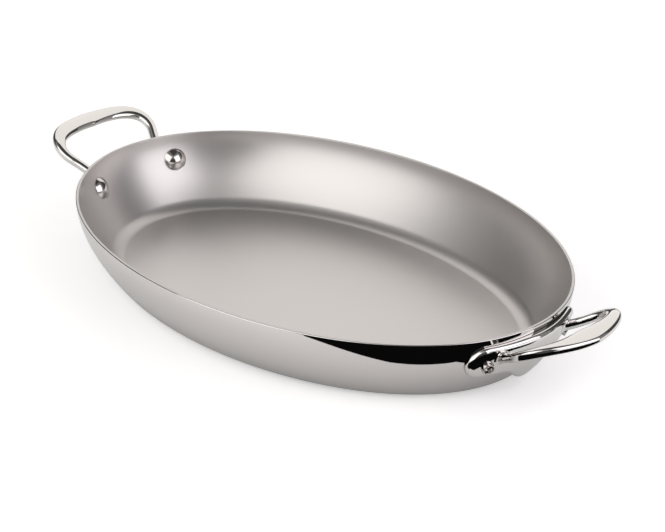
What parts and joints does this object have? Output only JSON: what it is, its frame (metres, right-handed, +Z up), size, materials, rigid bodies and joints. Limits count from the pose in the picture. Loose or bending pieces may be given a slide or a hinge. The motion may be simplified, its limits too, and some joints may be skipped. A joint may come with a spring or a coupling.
{
  "type": "oval pan",
  "caption": "Shallow oval cooking pan pressed from clad steel sheet, its sides flaring to a plain rim, with a cast loop handle riveted to each end.",
  "frame": {"origin": "middle of the flat underside, on the surface that the pan stands on", "axes": "+X along the pan, through both handles, +Y across it, +Z up out of the bowl"},
  "size_m": [0.4382, 0.239, 0.0556],
  "materials": {
    "polished_sheet": "mirror polished stainless steel",
    "aluminium": "bright cut edge, bonded between two steel layers",
    "satin_sheet": "fine satin stainless steel",
    "polished_casting": "polished cast stainless steel",
    "rivet_steel": "polished stainless steel"
  },
  "bodies": {
    "root": {"outer_steel_layer": "polished_sheet", "aluminium_core": "aluminium", "inner_steel_layer": "satin_sheet", "right_handle": "polished_casting", "left_handle": "polished_casting", "right_front_rivet": "rivet_steel", "right_back_rivet": "rivet_steel", "left_front_rivet": "rivet_steel", "left_back_rivet": "rivet_steel"}
  },
  "joints": []
}
